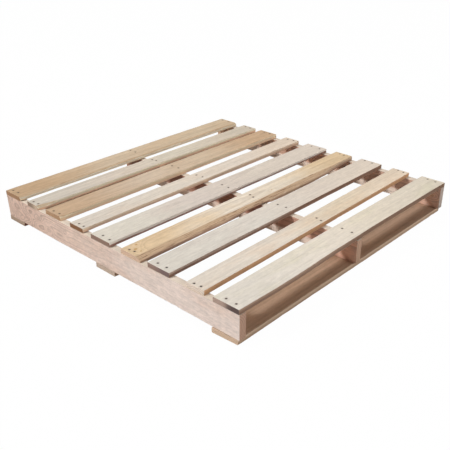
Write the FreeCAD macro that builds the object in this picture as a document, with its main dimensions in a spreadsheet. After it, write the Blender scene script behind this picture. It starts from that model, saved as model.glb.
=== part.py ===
import FreeCAD, Part
import os
import Sketcher

# Two-way-entry stringer pallet: three full-length stringers on edge, nine top
# deck boards of alternating width, three bottom boards, and the nails.
# Frame: millimetres, +Z up, +X along the deck boards, +Y along the stringers
# from the front end to the rear end. The origin is the centre of the
# footprint, on the floor.

# ---- driving dimensions -----------------------------------------------------
# alias, value or formula, note
cells = [
    ("stringer_length", 1219.2, "48 in stringer"),
    ("stringer_thickness", 27.0, "1 1/16 in stringer, measured across the entry"),
    ("stringer_height", 88.9, "3 1/2 in stringer, on edge"),
    ("deck_thickness", 17.4625, "11/16 in top deck board"),
    ("bottom_thickness", 17.4625, "11/16 in bottom board"),
    ("stringer_front", "=-stringer_length / 2", "front end of every stringer"),
    ("stringer_left_left", -609.6, "left stringer, its left face"),
    ("stringer_centre_left", "=-stringer_thickness / 2", "centre stringer, its left face"),
    ("stringer_right_left", 584.1, "right stringer, its left face"),
    ("nail_length", 57.15, "2 1/4 in nail, outer face of head to point"),
    ("nail_shank_radius", 1.45, "0.114 in shank"),
    ("nail_head_radius", 3.5, "9/32 in head"),
    ("nail_head_thickness", 1.2, "nail head thickness"),
    ("nail_point_length", 5.0, "nail point length"),
    ("nail_point_taper", 14.0, "half angle of the point, degrees"),
    ("nail_recess", 0.3, "how far a head sits below the board's face"),
    ("nail_straight_length", "=nail_length - nail_point_length", "nail without its point"),
    ("head_seat_depth", "=nail_recess + nail_head_thickness", "seat let into a board"),
    ("top_hole_depth", "=nail_length + nail_recess - deck_thickness",
     "top nail's hole in a stringer"),
    ("bottom_hole_depth", "=nail_length + nail_recess - bottom_thickness",
     "bottom nail's hole in a stringer"),
    ("bottom_board_height", 0, "underside of the bottom boards, on the floor"),
    ("top_board_height", "=bottom_thickness + stringer_height", "underside of the top boards"),
    ("top_nail_height", "=top_board_height + deck_thickness - nail_recess",
     "top of the top nails' heads"),
]

STRINGERS = ["stringer_left", "stringer_centre", "stringer_right"]

# ---- boards -----------------------------------------------------------------
# Each board: name, name of its nails,
#   (left end, front corner at the left end, length, width, skew in degrees,
#    positive swinging the right end to the rear),
#   wane on the top front edge (across, down) or None,
#   nails (along, across) from the board's own front left corner, two at each
#   stringer from left to right.
BOARD_FIELDS = ("left", "front", "length", "width", "skew")
NAIL_LETTERS = "abcdef"
TOP = [
    ("top_lead_board_front", "nails_top_lead_front",
     (-610.9, -607.1, 1221.3, 101.6, -0.11), None,
     [(19.3, 66.1), (18.9, 26.5), (611.5, 72.8), (608.8, 31.6), (1208.3, 67.8), (1203.7, 32.0)]),
    ("top_board_2", "nails_top_2",
     (-606.0, -466.0, 1215.2, 75.7, 0.62), None,
     [(10.7, 50.6), (12.4, 23.7), (614.0, 36.9), (608.1, 13.9), (1208.9, 47.3), (1202.1, 19.8)]),
    ("top_board_3", "nails_top_3",
     (-607.7, -318.0, 1219.4, 100.5, -0.2), None,
     [(19.0, 71.6), (19.6, 31.5), (610.3, 70.6), (611.3, 32.4), (1211.2, 78.3), (1206.0, 39.6)]),
    ("top_board_4", "nails_top_4",
     (-608.5, -183.6, 1218.4, 97.2, -0.29), (17.0, 10.0),
     [(19.4, 48.9), (15.8, 70.6), (599.8, 47.3), (607.8, 70.1), (1203.8, 48.2), (1206.3, 70.2)]),
    ("top_board_5", "nails_top_5",
     (-610.9, -31.8, 1221.0, 103.1, -0.36), None,
     [(21.0, 61.2), (17.7, 21.3), (608.5, 64.8), (605.1, 27.6), (1204.4, 70.8), (1200.9, 24.1)]),
    ("top_board_6", "nails_top_6",
     (-608.6, 118.4, 1219.8, 75.6, -0.08), None,
     [(17.9, 44.2), (16.2, 15.5), (608.0, 56.4), (610.5, 24.4), (1203.1, 51.7), (1205.5, 20.3)]),
    ("top_board_7", "nails_top_7",
     (-606.0, 252.0, 1217.6, 96.4, -0.04), None,
     [(14.3, 63.8), (15.0, 28.4), (607.5, 71.0), (609.5, 33.8), (1205.2, 64.6), (1206.0, 31.5)]),
    ("top_board_8", "nails_top_8",
     (-612.1, 383.1, 1223.7, 78.0, -0.11), None,
     [(15.0, 55.8), (16.5, 27.3), (604.3, 56.0), (608.0, 34.4), (1212.0, 55.1), (1210.5, 25.0)]),
    ("top_lead_board_rear", "nails_top_lead_rear",
     (-612.1, 507.8, 1224.2, 101.8, 0.0), (12.0, 5.0),
     [(19.8, 81.3), (22.4, 48.9), (614.0, 87.3), (616.2, 56.4), (1212.6, 82.7), (1213.0, 43.8)]),
]
BOTTOM = [
    ("bottom_lead_board_front", "nails_bottom_lead_front",
     (-612.1, -602.7, 1216.6, 99.7, 0.0), None,
     [(17.0, 24.0), (14.5, 73.0), (611.0, 22.5), (613.5, 76.5), (1208.5, 27.0), (1206.0, 72.0)]),
    ("bottom_board_centre", "nails_bottom_centre",
     (-610.4, -45.4, 1219.2, 101.6, 0.0), None,
     [(13.0, 27.0), (16.5, 75.5), (607.5, 25.0), (612.0, 71.0), (1209.5, 23.5), (1206.0, 77.5)]),
    ("bottom_lead_board_rear", "nails_bottom_lead_rear",
     (-609.6, 509.9, 1219.2, 99.7, 0.0), None,
     [(14.5, 25.5), (12.5, 74.0), (609.0, 27.5), (606.0, 73.5), (1208.0, 24.0), (1211.0, 75.0)]),
]


def board_cells(name, sizes, wane, points):
    """A board's sizes, and each nail's place in the board and in its stringer."""
    rows = [(f"{name}_{field}", size) for field, size in zip(BOARD_FIELDS, sizes)]
    if wane:
        rows += [(f"{name}_wane_across", wane[0]), (f"{name}_wane_down", wane[1])]
    cosine = f"cos({name}_skew * 1 deg)"
    sine = f"sin({name}_skew * 1 deg)"
    for i, (along, across) in enumerate(points):
        nail = f"{name}_nail{NAIL_LETTERS[i]}"
        stringer = STRINGERS[i // 2]
        rows += [
            (nail + "_along", along),
            (nail + "_across", across),
            (nail + "_x", f"={name}_left + {nail}_along * {cosine}"
                          f" - {nail}_across * {sine} - {stringer}_left"),
            (nail + "_y", f"={name}_front + {nail}_along * {sine}"
                          f" + {nail}_across * {cosine} - stringer_front"),
        ]
    return [(alias, content, alias.replace("_", " ")) for alias, content in rows]


for name, nails, sizes, wane, points in TOP + BOTTOM:
    cells += board_cells(name, sizes, wane, points)

doc = FreeCAD.newDocument("wooden_pallet")
sheet = doc.addObject("Spreadsheet::Sheet", "Dimensions")
for row, (alias, content, note) in enumerate(cells, 1):
    sheet.set(f"A{row}", note)
    sheet.set(f"B{row}", str(content))
    sheet.setAlias(f"B{row}", alias)
doc.recompute()

DIM = "Dimensions."


# ---- helpers ----------------------------------------------------------------
def number(alias):
    return float(sheet.get(alias))


def new_body(name):
    body = doc.addObject("PartDesign::Body", name)
    body.AllowCompound = True
    return body


def sketch_on(body, name, height=None):
    """A horizontal sketch, raised by the expression height."""
    sketch = body.newObject("Sketcher::SketchObject", name)
    base = next(f for f in body.Origin.OriginFeatures if f.Role == "XY_Plane")
    sketch.AttachmentSupport = [(base, "")]
    sketch.MapMode = "FlatFace"
    if height:
        sketch.setExpression("AttachmentOffset.Base.z", height)
    return sketch


def dimension(sketch, label, alias, kind, *ends):
    """A named sketch constraint driven by the sheet."""
    index = sketch.addConstraint(Sketcher.Constraint(kind, *ends, number(alias)))
    sketch.renameConstraint(index, label)
    sketch.setExpression("Constraints." + label, DIM + alias)


def rectangle(sketch, length_alias, width_alias):
    """length along X, width along Y, one corner on the sketch origin."""
    length, width = number(length_alias), number(width_alias)
    corners = [FreeCAD.Vector(x, y, 0)
               for x, y in ((0, 0), (length, 0), (length, width), (0, width))]
    for i in range(4):
        sketch.addGeometry(Part.LineSegment(corners[i], corners[(i + 1) % 4]), False)
    for i in range(4):
        sketch.addConstraint(Sketcher.Constraint("Coincident", i, 2, (i + 1) % 4, 1))
    for kind, side in (("Horizontal", 0), ("Horizontal", 2), ("Vertical", 1), ("Vertical", 3)):
        sketch.addConstraint(Sketcher.Constraint(kind, side))
    sketch.addConstraint(Sketcher.Constraint("Coincident", 0, 1, -1, 1))
    dimension(sketch, "length", length_alias, "DistanceX", 0, 1, 0, 2)
    dimension(sketch, "width", width_alias, "DistanceY", 1, 1, 1, 2)


def circles(sketch, places, radius_alias):
    """places: (x alias, y alias) of each centre, all in the positive quadrant."""
    for i, (x_alias, y_alias) in enumerate(places):
        centre = FreeCAD.Vector(number(x_alias), number(y_alias), 0)
        circle = Part.Circle(centre, FreeCAD.Vector(0, 0, 1), number(radius_alias))
        index = sketch.addGeometry(circle, False)
        dimension(sketch, f"radius{i}", radius_alias, "Radius", index)
        dimension(sketch, f"along{i}", x_alias, "DistanceX", -1, 1, index, 3)
        dimension(sketch, f"across{i}", y_alias, "DistanceY", -1, 1, index, 3)


def extrude(body, kind, name, sketch, length_alias, reverse):
    """A Pad (up unless reversed) or Pocket (down unless reversed).

    Without a length it goes through all.
    """
    feature = body.newObject("PartDesign::" + kind, name)
    feature.Profile = sketch
    if length_alias:
        feature.setExpression("Length", DIM + length_alias)
    else:
        feature.Type = "ThroughAll"
    feature.Reversed = reverse
    sketch.Visibility = False
    return feature


def volume(body):
    doc.recompute()
    return body.Shape.Volume


def require_cut(body, feature, before):
    after = volume(body)
    if not after < before - 1.0:
        raise RuntimeError(f"{feature.Label} cut nothing: {before:.1f} -> {after:.1f}")


def pocket(body, name, sketch, depth_alias, reverse):
    before = volume(body)
    feature = extrude(body, "Pocket", name, sketch, depth_alias, reverse)
    require_cut(body, feature, before)


def place(body, **aliases):
    for axis, alias in aliases.items():
        body.setExpression("Placement.Base." + axis, DIM + alias)


def place_on_board(body, name, height_alias):
    """Put a board, or its nails, at the board's corner and skew."""
    place(body, x=name + "_left", y=name + "_front", z=height_alias)
    # the rotation needs its axis before the angle is bound
    body.Placement.Rotation = FreeCAD.Rotation(FreeCAD.Vector(0, 0, 1), number(name + "_skew"))
    body.setExpression("Placement.Rotation.Angle", f"{DIM}{name}_skew * 1 deg")


def nail_places(name, first, second):
    """Alias pairs for a board's nails, such as along and across."""
    return [(f"{name}_nail{letter}_{first}", f"{name}_nail{letter}_{second}")
            for letter in NAIL_LETTERS]


# ---- pieces -----------------------------------------------------------------
def cut_wane(body, name, blank, thickness):
    """Bevel the top front edge, where the bark side has left it rounded off."""
    before = volume(body)
    length = number(name + "_length")
    edges = []
    for i, edge in enumerate(body.Shape.Edges, 1):
        box = edge.BoundBox
        at_front = abs(box.YMax) < 0.01
        at_top = abs(box.ZMin - thickness) < 0.01
        if box.XLength > 0.9 * length and at_front and at_top:
            edges.append(f"Edge{i}")
    chamfer = body.newObject("PartDesign::Chamfer", name + "_wane")
    chamfer.Base = (blank, edges)
    chamfer.ChamferType = "Two distances"
    chamfer.setExpression("Size", f"{DIM}{name}_wane_across")
    chamfer.setExpression("Size2", f"{DIM}{name}_wane_down")
    require_cut(body, chamfer, before)
    # the first distance belongs on the top face; swap the two if it fell on the front
    top_front = min(v.Y for v in body.Shape.Vertexes if abs(v.Z - thickness) < 0.01)
    if abs(top_front - number(name + "_wane_across")) > 0.05:
        chamfer.FlipDirection = True
        doc.recompute()


def make_board(name, wane, top):
    thickness = "deck_thickness" if top else "bottom_thickness"
    body = new_body(name)
    outline = sketch_on(body, name + "_outline")
    rectangle(outline, name + "_length", name + "_width")
    blank = extrude(body, "Pad", name + "_blank", outline, thickness, False)
    if wane:
        cut_wane(body, name, blank, number(thickness))
    # shank holes right through, heads let in from the face they are driven from
    places = nail_places(name, "along", "across")
    shanks = sketch_on(body, name + "_shanks")
    circles(shanks, places, "nail_shank_radius")
    pocket(body, name + "_shank_holes", shanks, None, True)
    heads = sketch_on(body, name + "_heads", DIM + thickness if top else None)
    circles(heads, places, "nail_head_radius")
    pocket(body, name + "_head_seats", heads, "head_seat_depth", not top)
    place_on_board(body, name, "top_board_height" if top else "bottom_board_height")
    return body


def make_nails(nails, name, top):
    """A board's six nails; the outer face of the heads is at the group's zero height."""
    body = new_body(nails)
    sign = "-1 * " if top else ""
    point_height = f"{sign}{DIM}nail_straight_length"
    for part, radius, length, height in (
            ("head", "nail_head_radius", "nail_head_thickness", None),
            ("shank", "nail_shank_radius", "nail_straight_length", None),
            ("point", "nail_shank_radius", "nail_point_length", point_height)):
        sketch = sketch_on(body, f"{nails}_{part}", height)
        circles(sketch, nail_places(name, "along", "across"), radius)
        pad = extrude(body, "Pad", f"{nails}_{part}s", sketch, length, top)
    # the last pad, the points, tapers to a blunt tip
    pad.setExpression("TaperAngle", f"-1 deg * {DIM}nail_point_taper")
    place_on_board(body, name, "top_nail_height" if top else "nail_recess")
    return body


def make_stringer(name, index):
    """A plank on edge, with the holes of the two nails each board drives into it."""
    body = new_body(name)
    outline = sketch_on(body, name + "_outline")
    rectangle(outline, "stringer_thickness", "stringer_length")
    extrude(body, "Pad", name + "_blank", outline, "stringer_height", False)
    for side, boards, height in (("top", TOP, DIM + "stringer_height"),
                                 ("bottom", BOTTOM, None)):
        places = []
        for board in boards:
            places += nail_places(board[0], "x", "y")[2 * index:2 * index + 2]
        sketch = sketch_on(body, f"{name}_{side}_nails", height)
        circles(sketch, places, "nail_shank_radius")
        pocket(body, f"{name}_{side}_nail_holes", sketch, side + "_hole_depth", side == "bottom")
    place(body, x=name + "_left", y="stringer_front", z="bottom_thickness")
    return body


# ---- build ------------------------------------------------------------------
# each body and the number of solids it holds
nodes = [(make_stringer(name, i), 1) for i, name in enumerate(STRINGERS)]
for boards, top in ((TOP, True), (BOTTOM, False)):
    for name, nails, sizes, wane, points in boards:
        nodes.append((make_board(name, wane, top), 1))
        nodes.append((make_nails(nails, name, top), len(points)))
doc.recompute()

# ---- validate and export ----------------------------------------------------
bad = []
for obj in doc.Objects:
    if "Invalid" in obj.State or "Error" in obj.State:
        bad.append(f"{obj.Label}: {obj.State}")
for body, count in nodes:
    shape = body.Shape
    if shape.isNull() or not shape.isValid():
        bad.append(body.Label + ": null or invalid shape")
    elif len(shape.Solids) != count:
        bad.append(f"{body.Label}: {len(shape.Solids)} solids, not {count}")
if bad:
    raise RuntimeError("\n".join(bad))

os.makedirs("parts", exist_ok=True)
for body, count in nodes:
    body.Shape.exportStep(os.path.join("parts", body.Label + ".step"))
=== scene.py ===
"""A sawn timber pallet: nine deck boards nailed over three stringers, three bottom boards below.

The boards run along X (left end at low X), the stringers run along Y (front at low Y), Z is up.
Pieces and nails are worked in millimetres and stored in metres. Each timber piece has its own
frame: x along its length, y across its width, z up through its thickness. On a board y runs from
the front edge to the rear; on a stringer x runs to the rear and y from the right face to the left.
"""
import math
from typing import Callable, NamedTuple

import bpy
import bmesh
import numpy as np
from mathutils import Matrix, Vector


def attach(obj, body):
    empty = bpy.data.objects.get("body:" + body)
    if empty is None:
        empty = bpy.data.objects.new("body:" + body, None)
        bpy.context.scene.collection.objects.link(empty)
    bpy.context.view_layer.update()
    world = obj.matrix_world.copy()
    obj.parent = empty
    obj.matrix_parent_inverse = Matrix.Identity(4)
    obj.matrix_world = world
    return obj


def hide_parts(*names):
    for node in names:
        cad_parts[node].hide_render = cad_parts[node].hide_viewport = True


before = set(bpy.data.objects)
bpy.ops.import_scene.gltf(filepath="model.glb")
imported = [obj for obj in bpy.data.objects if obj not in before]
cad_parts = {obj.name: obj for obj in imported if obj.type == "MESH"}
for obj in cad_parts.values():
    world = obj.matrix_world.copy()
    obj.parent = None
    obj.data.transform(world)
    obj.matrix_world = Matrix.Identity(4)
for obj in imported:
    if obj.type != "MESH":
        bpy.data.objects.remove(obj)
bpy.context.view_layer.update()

MM = 0.001

MIDDLE = range(2, 9)
TOP_BOARDS = [
    "top_lead_board_front", *("top_board_%d" % i for i in MIDDLE), "top_lead_board_rear"]
TOP_NAILS = ["nails_top_lead_front", *("nails_top_%d" % i for i in MIDDLE), "nails_top_lead_rear"]
BOTTOM_BOARDS = ["bottom_lead_board_front", "bottom_board_centre", "bottom_lead_board_rear"]
BOTTOM_NAILS = ["nails_bottom_lead_front", "nails_bottom_centre", "nails_bottom_lead_rear"]
STRINGERS = ["stringer_left", "stringer_centre", "stringer_right"]

# nails, mm
NAIL_LENGTH = 57.15
HEAD_RADIUS = 3.5
SHANK_RADIUS = 1.45
HOLE_RADIUS = 1.5
RIB_START = 20.0       # below the top of the head
RIB_PITCH = 1.5
RIB_DEPTH = 0.16

# --------------------------------------------------------------------------
# seeded noise and soft shapes
# --------------------------------------------------------------------------


def noise_table(seed, count):
    return np.random.default_rng(seed).uniform(-1.0, 1.0, count)


def cell(values, offset):
    """Whole cell and eased place inside it."""
    values = np.asarray(values, float) + offset
    whole = np.floor(values).astype(int)
    part = values - whole
    return whole, part * part * (3 - 2 * part)


def noise1(seed, x):
    """Smooth 1-D noise in -1..1, one bump per unit of x."""
    table = noise_table(seed, 4096)
    i, part = cell(x, 512.0)
    return table[i % 4096] * (1 - part) + table[(i + 1) % 4096] * part


def noise2(seed, x, y):
    """Smooth 2-D noise in -1..1."""
    table = noise_table(seed, 65536).reshape(256, 256)
    i, part_x = cell(x, 128.0)
    j, part_y = cell(y, 128.0)

    def row(k):
        return (table[i % 256, k % 256] * (1 - part_x)
                + table[(i + 1) % 256, k % 256] * part_x)

    return row(j) * (1 - part_y) + row(j + 1) * part_y


def rough1(seed, x):
    """Three octaves of noise1."""
    total, size = 0.0, 1.0
    for k in range(3):
        total = total + size * noise1(seed + 17 * k, np.asarray(x) * 2 ** k)
        size *= 0.5
    return total


def bell(distance, reach):
    return np.exp(-((distance / reach) ** 2))


def unit(values):
    return np.clip(values, 0, 1)


# --------------------------------------------------------------------------
# reading the frame: where each timber piece and each nail is
# --------------------------------------------------------------------------


class Frame(NamedTuple):
    """Where a piece lies: origin corner (mm), turn about Z (radians) and sizes (mm)."""
    origin: tuple
    turn: float
    length: float
    width: float
    thickness: float


def mesh_points(mesh):
    """Vertex places in mm."""
    coords = np.zeros(len(mesh.vertices) * 3)
    mesh.vertices.foreach_get("co", coords)
    return coords.reshape(-1, 3) / MM


def cad_points(node):
    return mesh_points(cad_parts[node].data)


def board_frame(node):
    """A deck or bottom board's frame, from its front left corner."""
    points = cad_points(node)
    low, high = points.min(0), points.max(0)
    left = points[points[:, 0] < low[0] + 2.0]
    right = points[points[:, 0] > high[0] - 2.0]
    corner = left[np.argmin(left[:, 1])]
    right_corner = right[np.argmin(right[:, 1])]
    rear_corner = left[np.argmax(left[:, 1])]
    run = right_corner - corner
    span = rear_corner - corner
    return Frame(
        origin=(corner[0], corner[1], low[2]),
        turn=math.atan2(run[1], run[0]),
        length=math.hypot(run[0], run[1]),
        width=math.hypot(span[0], span[1]),
        thickness=high[2] - low[2])


def stringer_frame(node):
    """A stringer's frame, from its front right lower corner."""
    points = cad_points(node)
    low, high = points.min(0), points.max(0)
    size = high - low
    return Frame((high[0], low[1], low[2]), math.pi / 2, size[1], size[0], size[2])


def nail_places(node):
    """(x, y, lowest z, highest z) of every nail in a group, in mm."""
    points = cad_points(node)
    places = []
    used = np.zeros(len(points), bool)
    while not used.all():
        first = points[np.argmin(used)]
        near = (np.hypot(points[:, 0] - first[0], points[:, 1] - first[1]) < 8.0) & ~used
        x, y, z = points[near].T
        places.append(((x.min() + x.max()) / 2, (y.min() + y.max()) / 2, z.min(), z.max()))
        used |= near
    return places


def to_world(frame, points):
    cos, sin = math.cos(frame.turn), math.sin(frame.turn)
    x = frame.origin[0] + points[:, 0] * cos - points[:, 1] * sin
    y = frame.origin[1] + points[:, 0] * sin + points[:, 1] * cos
    return np.stack([x, y, frame.origin[2] + points[:, 2]], 1)


def to_local(frame, points):
    x, y, z = (points - np.array(frame.origin)).T
    cos, sin = math.cos(frame.turn), math.sin(frame.turn)
    return np.stack([x * cos + y * sin, -x * sin + y * cos, z], 1)


# --------------------------------------------------------------------------
# the shape of each piece, mm
# --------------------------------------------------------------------------


class Shape(NamedTuple):
    """How a piece departs from a plain box. Stations are (place along, amount)."""
    seed: int
    bow: tuple = ()              # rise between left and centre, centre and right stringers
    arris: float = 1.0           # mean radius of the long arrises
    corner: float = 1.2          # extra arris radius at the ends
    crook: float = 0.0           # sideways bend at mid length
    waver: float = 0.35          # wander of the edge lines
    step: float = 6.0            # mesh spacing along, across and up
    side_step: float = 4.0
    rise_step: float = 3.0
    front: tuple = ()            # forward offset of the whole front edge
    low: tuple = ()              # forward offset of its lower part
    under: tuple = ()            # height of the rounding under the front edge
    clipped: tuple = ()          # front left corner cut back: depth, reach
    taper: Callable = None       # front edge inset, from the fraction of the length
    wane: Callable = None        # width and drop of the missing front top corner
    near_skew: float = 0.0       # near end out of square over the width
    far_lean: float = 0.0        # far end out of square over the thickness


def wane_long(across, down, wobble, fade=None):
    """Wane along the whole edge. fade: where it starts and ends (fractions), how much goes."""
    def wane(x, length, seed):
        keep = 1.0
        if fade:
            start, end, loss = fade
            t = unit((x / length - start) / (end - start))
            keep = 1.0 - loss * t * t * (3 - 2 * t)
        width = across + wobble * rough1(seed + 41, x / 70.0) + 3.0 * bell(x - 0.03 * length, 60.0)
        drop = down + 0.35 * wobble * rough1(seed + 43, x / 55.0)
        return np.clip(width * keep, 1.5, None), np.clip(drop * keep, 0.6, None)
    return wane


def wane_corner(across, down, reach, base_across, base_down):
    """Slight wane along the edge, heavier at the near end."""
    def wane(x, length, seed):
        near = bell(x, reach)
        width = base_across + across * near + 1.0 * rough1(seed + 41, x / 60.0)
        drop = base_down + down * near + 0.4 * rough1(seed + 43, x / 50.0)
        return np.clip(width, 1.5, None), np.clip(drop, 0.5, None)
    return wane


def live_taper(start, depth):
    """An edge that eases in by depth between start (a fraction) and the far end."""
    def taper(fraction):
        t = unit((fraction - start) / (1.0 - start))
        return depth * t * t * (3 - 2 * t)
    return taper


STRINGER_SHAPE = dict(step=7.0, side_step=4.5, rise_step=4.5, corner=0.8, waver=0.25)

SHAPES = {
    "top_lead_board_front": Shape(
        seed=101, bow=(0.5, -0.4), arris=0.9, crook=0.3,
        front=((0, 0), (60, 1.5), (150, 4.5), (260, 4.5), (370, 1.5), (460, -1), (600, -2),
               (720, -3.5), (860, -3.5), (1000, -2.5), (1150, -2), (1222, 0))),
    "top_board_2": Shape(seed=202, bow=(-0.4, 0.6), arris=0.8, crook=-0.5),
    "top_board_3": Shape(seed=303, bow=(0.6, 0.3), crook=0.4),
    "top_board_4": Shape(
        seed=404, bow=(0.5, 0.5), arris=1.2, side_step=3.2,
        wane=wane_long(across=17.0, down=10.0, wobble=2.0, fade=(0.72, 0.93, 0.75)),
        taper=live_taper(start=0.70, depth=14.0),
        low=((0, 0), (180, 3), (280, 5), (400, 6), (450, 3), (490, 0), (625, 0), (645, 8),
             (720, 10), (900, 10), (1000, 9), (1120, 2), (1218, 0)),
        under=((440, 0), (500, 8), (525, 13), (612, 13), (630, 0))),
    "top_board_5": Shape(
        seed=505, bow=(0.4, -0.5), arris=0.8, crook=-0.3,
        under=((0, 1), (420, 1), (600, 3.6), (1100, 3.8), (1221, 2))),
    "top_board_6": Shape(
        seed=606, bow=(0.3, 0.5), crook=0.5,
        under=((0, 2), (60, 3), (300, 2.6), (420, 1), (560, 2.6), (700, 2.2), (820, 1),
               (1219, 1))),
    "top_board_7": Shape(
        seed=707, bow=(-0.4, 0.5), arris=1.1, clipped=(5.0, 14.0),
        wane=wane_corner(across=7.0, down=6.0, reach=40.0, base_across=1.8, base_down=0.6)),
    "top_board_8": Shape(
        seed=808, bow=(0.7, -0.3), arris=1.3, clipped=(12.0, 20.0),
        wane=wane_corner(across=14.0, down=9.0, reach=60.0, base_across=2.2, base_down=0.9)),
    "top_lead_board_rear": Shape(
        seed=909, bow=(-0.4, 0.4), arris=1.2, side_step=3.4, clipped=(4.0, 14.0),
        wane=wane_long(across=12.0, down=5.0, wobble=2.0),
        under=((0, 3.5), (60, 4.6), (1180, 4.6), (1224, 3))),
    "bottom_lead_board_front": Shape(seed=111, bow=(0.3, 0.3), near_skew=-5.0),
    "bottom_board_centre": Shape(seed=222, bow=(0.2, 0.3)),
    "bottom_lead_board_rear": Shape(seed=333, bow=(0.2, 0.2)),
    "stringer_left": Shape(seed=441, far_lean=6.0, **STRINGER_SHAPE),
    "stringer_centre": Shape(seed=551, **STRINGER_SHAPE),
    "stringer_right": Shape(seed=661, **STRINGER_SHAPE),
}

# --------------------------------------------------------------------------
# the sawn timber: a closed lattice over a box, worn, waned and warped.
# along, side and rise are a point's place on the plain box; x, y, z its moved place.
# Each noise adds its own offset to the piece's seed.
# --------------------------------------------------------------------------

# mesh lines close to an arris, measured from it
LINES_AT_SIDES = [0.0, 0.35, 0.8, 1.4, 2.2, 3.4, 5.2]
LINES_AT_ENDS = [0.0, 0.5, 1.3, 3.0]


def mesh_lines(length, step, near):
    near = [line for line in near if line < length * 0.42]
    last = near[-1]
    count = max(1, int(round((length - 2 * last) / step)))
    middle = np.linspace(last, length - last, count + 1)
    return np.array(near[:-1] + list(middle) + [length - line for line in reversed(near[:-1])])


def lattice(*axes):
    """Points and quads of the skin of a box divided at the given lines."""
    counts = [len(axis) for axis in axes]
    places = np.meshgrid(*(np.arange(count) for count in counts), indexing="ij")
    skin = np.zeros(counts, bool)
    for place, count in zip(places, counts):
        skin |= (place == 0) | (place == count - 1)
    index = -np.ones(counts, np.int64)
    index[skin] = np.arange(skin.sum())
    points = np.stack([axis[place[skin]] for axis, place in zip(axes, places)], 1)
    faces = []
    for axis, flip_first in ((2, True), (1, False), (0, True)):
        for side, flip in ((0, flip_first), (-1, not flip_first)):
            grid = np.take(index, side, axis=axis)
            quad = (grid[:-1, :-1], grid[1:, :-1], grid[1:, 1:], grid[:-1, 1:])
            if flip:
                quad = quad[::-1]
            faces.append(np.stack([corner.ravel() for corner in quad], 1))
    return points, np.concatenate(faces)


def arris_radius(frame, shape, points):
    """Radius of the nearest long arris: it changes along the edge, with five knocks in each."""
    x, y, z = points.T
    rng = np.random.default_rng(shape.seed + 5)
    first, low = y < frame.width / 2, z < frame.thickness / 2
    radius = np.zeros(len(points))
    edges = (first & low, ~first & low, first & ~low, ~first & ~low)
    for k, mask in enumerate(edges):
        worn = shape.arris * (1.0 + 0.45 * rough1(shape.seed + 31 * k, x / 45.0))
        for _ in range(5):
            place = rng.uniform(0, frame.length)
            amount = rng.uniform(0.5, 1.8)
            reach = rng.uniform(6, 16)
            worn = worn + amount * bell(x - place, reach)
        worn = worn + shape.corner * bell(np.minimum(x, frame.length - x), 9.0)
        radius = np.where(mask, np.clip(worn, 0.35, 5.0), radius)
    return radius


def round_arrises(frame, shape, points):
    x, y, z = points.T
    radius = arris_radius(frame, shape, points)
    end_radius = 0.45 + 0.2 * noise2(shape.seed + 3, y / 9.0, z / 7.0)
    inner = np.stack([
        np.clip(x, end_radius, frame.length - end_radius),
        np.clip(y, radius, frame.width - radius),
        np.clip(z, radius, frame.thickness - radius)], 1)
    out = points - inner
    reach = np.sqrt((out[:, 0] / end_radius) ** 2 + (out[:, 1] / radius) ** 2
                    + (out[:, 2] / radius) ** 2)
    return inner + out / np.maximum(reach, 1.0)[:, None]


def shape_front_edge(frame, shape, box, x, y, inset):
    """Moves y where the front edge is cut back, tapered, wandering or rounded below."""
    along, side, rise = box
    if shape.clipped:
        depth, reach = shape.clipped
        y = y + (1 - y / frame.width) * (depth * bell(x, reach))
    y = y + (1 - y / frame.width) * inset
    near = unit(1 - side / 30.0)
    if shape.front:
        y = y - np.interp(along, *zip(*shape.front)) * near
    if shape.low:
        fall = unit(1 - rise / frame.thickness) ** 0.8
        y = y - np.interp(along, *zip(*shape.low)) * near * fall
    if shape.under:
        height = np.maximum(np.interp(along, *zip(*shape.under)), 0.01)
        back = 2.1 * height
        y = y + back * unit(1 - rise / height) * unit(1 - side / np.maximum(3.0 * back, 1.0))
    return y


def take_wane(frame, shape, rise, x, y, z, inset):
    """The round outside of the log has taken the front top corner away."""
    seed = shape.seed
    across, down = shape.wane(x, frame.length, seed)
    slope = unit(1 - (y - inset) / across) ** 0.9
    bark = (0.55 * noise2(seed + 8, x / 22.0, y / 3.2)
            + 0.35 * noise2(seed + 9, x / 7.0, y / 1.6))
    top = frame.thickness - down * slope + bark * unit(slope * 3) * 0.9
    z = z * np.clip(top, 2.0, frame.thickness) / frame.thickness
    # the edge below it is eaten back a little
    front = unit(1 - (y - inset) / 3.0) * unit(rise / frame.thickness)
    y = y + front * (0.7 + 0.7 * noise2(seed + 12, x / 18.0, z / 4.0)) * unit(down / 6.0)
    return y, z


def saw_unevenly(frame, shape, box, x, y, z):
    """Edge lines and thickness wander; a coarse saw leaves the ends fuzzy and out of square."""
    along, side, rise = box
    length, width, thickness = frame[2:]
    seed = shape.seed
    edge = unit(1 - side / 6.0) - unit(1 - (width - side) / 6.0)
    wander = np.where(edge > 0, rough1(seed + 61, along / 160.0), rough1(seed + 62, along / 160.0))
    y = y + wander * np.abs(edge) * shape.waver
    z = z + (0.10 * noise2(seed + 71, along / 30.0, side / 14.0)
             * np.clip((rise / thickness - 0.5) * 4, -1, 1))
    near_end = np.exp(-along / 25.0)
    far_end = np.exp(-(length - along) / 25.0)
    x = (x + near_end * (shape.near_skew * (side / width - 0.5))
         + far_end * (shape.far_lean * (rise / thickness - 0.5)))
    fuzz = 0.22 * noise2(seed + 81, side / 2.2, rise / 2.2)
    x = x + np.where(along <= 0.01, fuzz, 0) + np.where(along >= length - 0.01, fuzz, 0)
    return x, y, z


def warp(frame, shape, along, y, z, pins):
    """Bows between the stringers the piece is nailed to, and a crook over the whole length."""
    bow = np.zeros(len(along))
    for start, end, amount in zip(pins, pins[1:], shape.bow):
        bow += amount * np.sin(math.pi * unit((along - start) / (end - start))) ** 2
    return y + shape.crook * np.sin(math.pi * along / frame.length), z + bow


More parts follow.
